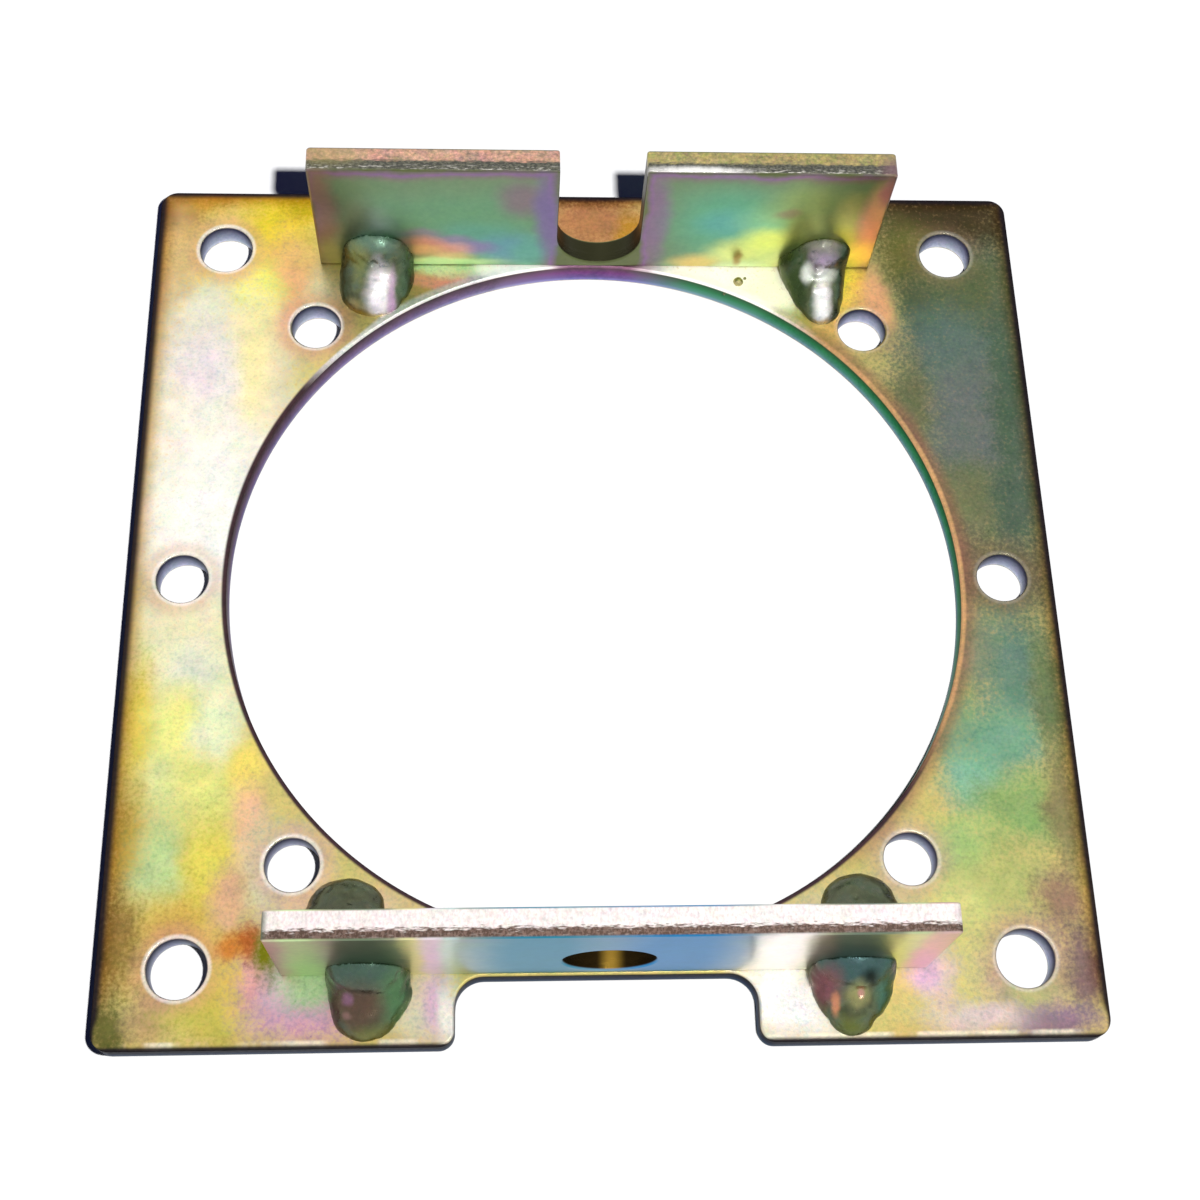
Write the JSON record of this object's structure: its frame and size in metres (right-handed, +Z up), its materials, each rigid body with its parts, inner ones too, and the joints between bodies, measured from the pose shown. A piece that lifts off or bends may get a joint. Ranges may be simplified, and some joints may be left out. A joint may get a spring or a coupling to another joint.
{
  "type": "motor mounting bracket",
  "caption": "Square steel plate with a large bore, a ring of bolt holes and upright flanges welded on opposite sides of the bore, for mounting a motor.",
  "frame": {"origin": "on the axis of the central bore, in the plane of the base plate's underside", "axes": "+Z up out of the plate, the way the flanges stand; +Y towards the flange with the open slot; +X to the right, along the flanges"},
  "size_m": [0.1588, 0.1574, 0.0331],
  "materials": {
    "chromated_steel": "yellow iridescent zinc chromate on sheet steel",
    "chromated_weld": "dark olive zinc chromate on glossy rippled weld metal"
  },
  "bodies": {
    "root": {"base_plate": "chromated_steel", "front_flange": "chromated_steel", "rear_flange": "chromated_steel", "front_inner_weld_left": "chromated_weld", "front_inner_weld_right": "chromated_weld", "front_outer_weld_left": "chromated_weld", "front_outer_weld_right": "chromated_weld", "rear_inner_weld_left": "chromated_weld", "rear_inner_weld_right": "chromated_weld", "rear_outer_weld_left": "chromated_weld", "rear_outer_weld_right": "chromated_weld"}
  },
  "joints": []
}
